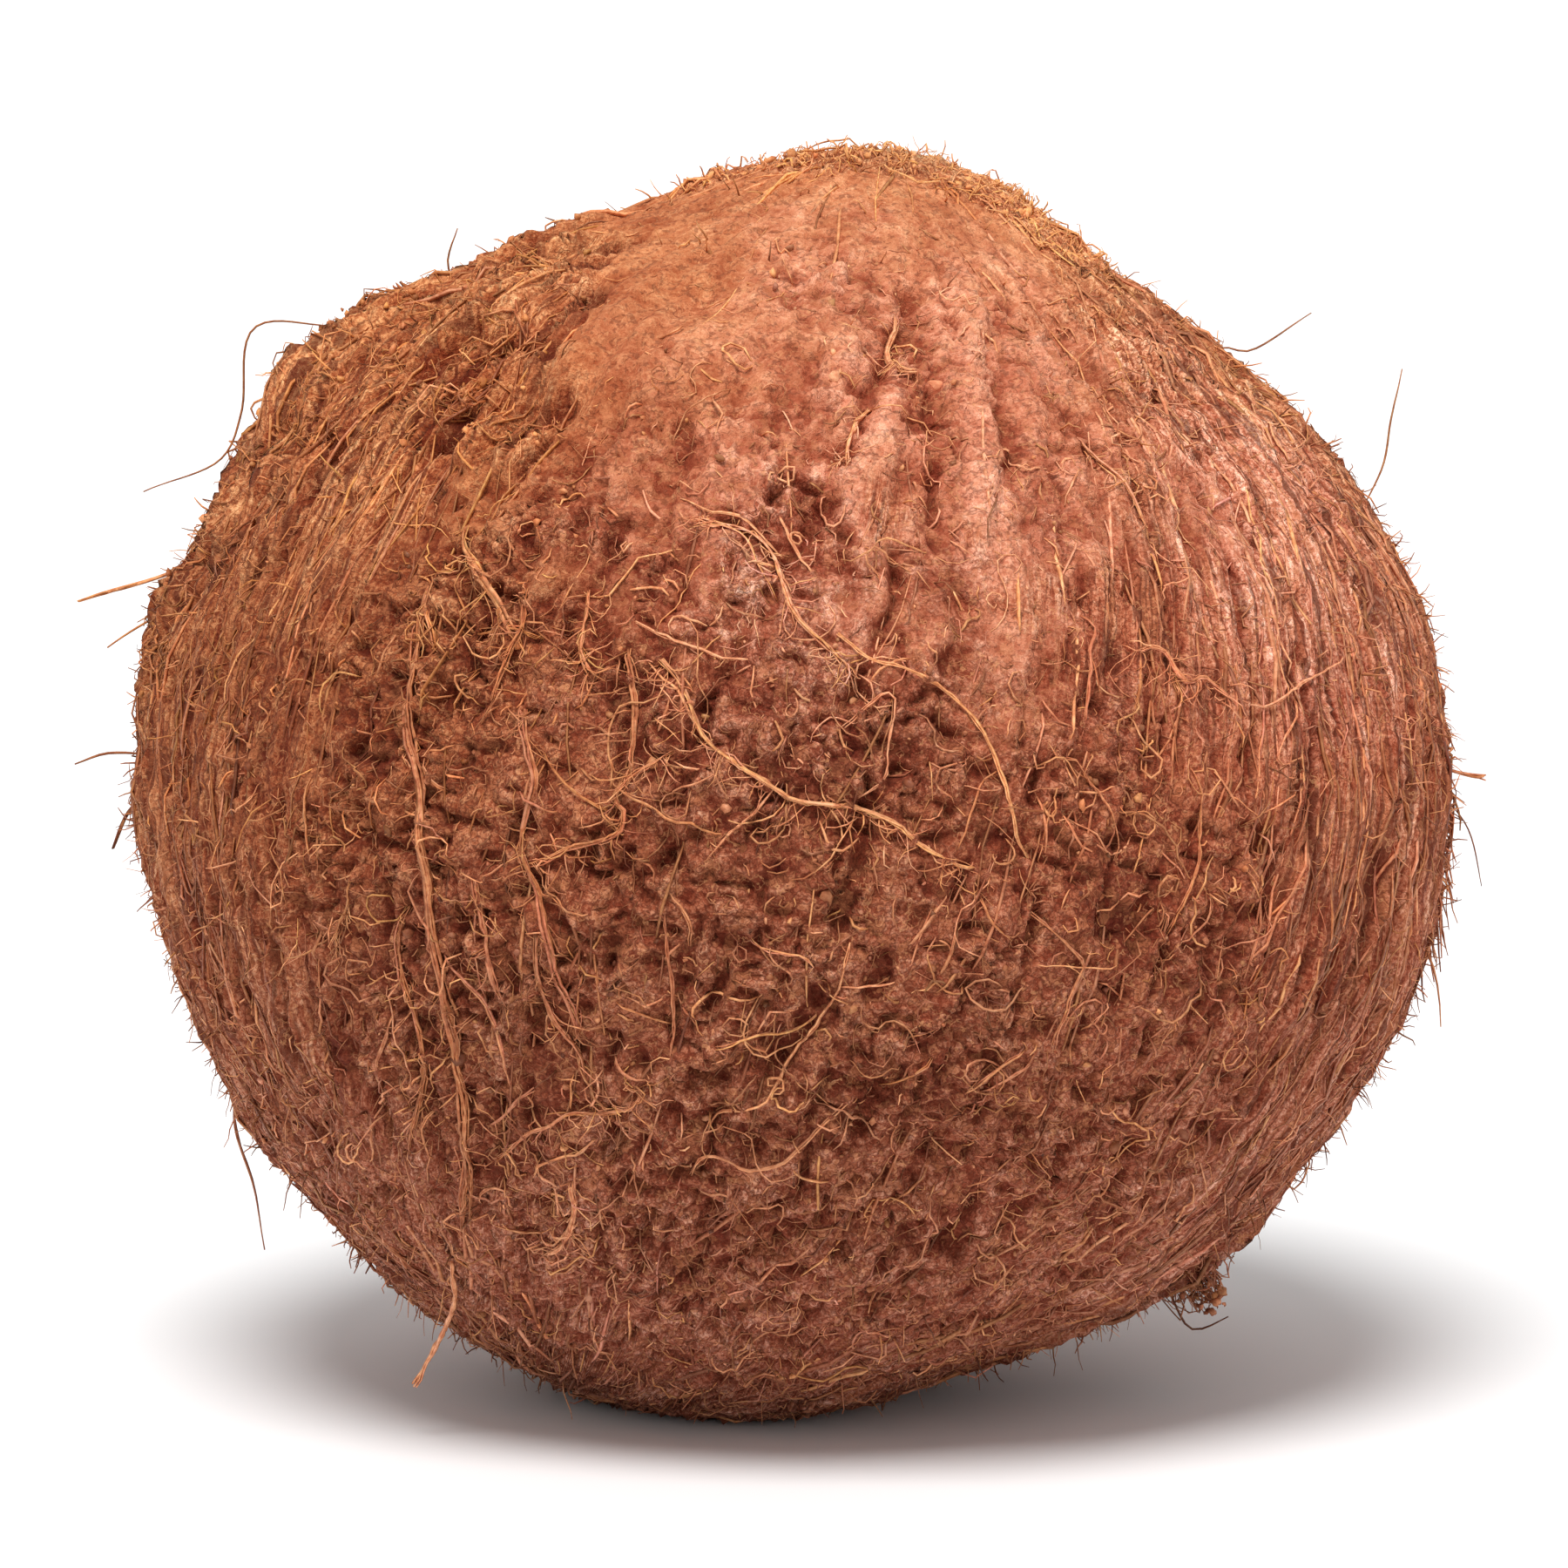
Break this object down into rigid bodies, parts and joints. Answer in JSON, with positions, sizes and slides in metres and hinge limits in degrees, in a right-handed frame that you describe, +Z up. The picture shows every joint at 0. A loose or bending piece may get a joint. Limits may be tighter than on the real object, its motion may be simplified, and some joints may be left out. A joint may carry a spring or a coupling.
{
  "type": "coconut",
  "caption": "Dehusked brown coconut, a rounded nut with a blunt peak, wrapped in its ridged coir with loose strands and hairs; rests on a small flat spot.",
  "frame": {"origin": "centre of the small flat spot that the nut rests on", "axes": "+Z up, with the blunt peak of the nut at the top; +X to the right when the front, which faces -Y, is looked at"},
  "size_m": [0.13, 0.1225, 0.1142],
  "materials": {
    "coir": "dry, matt, fibrous brown coir"
  },
  "bodies": {
    "root": {"coconut": "coir"}
  },
  "joints": []
}
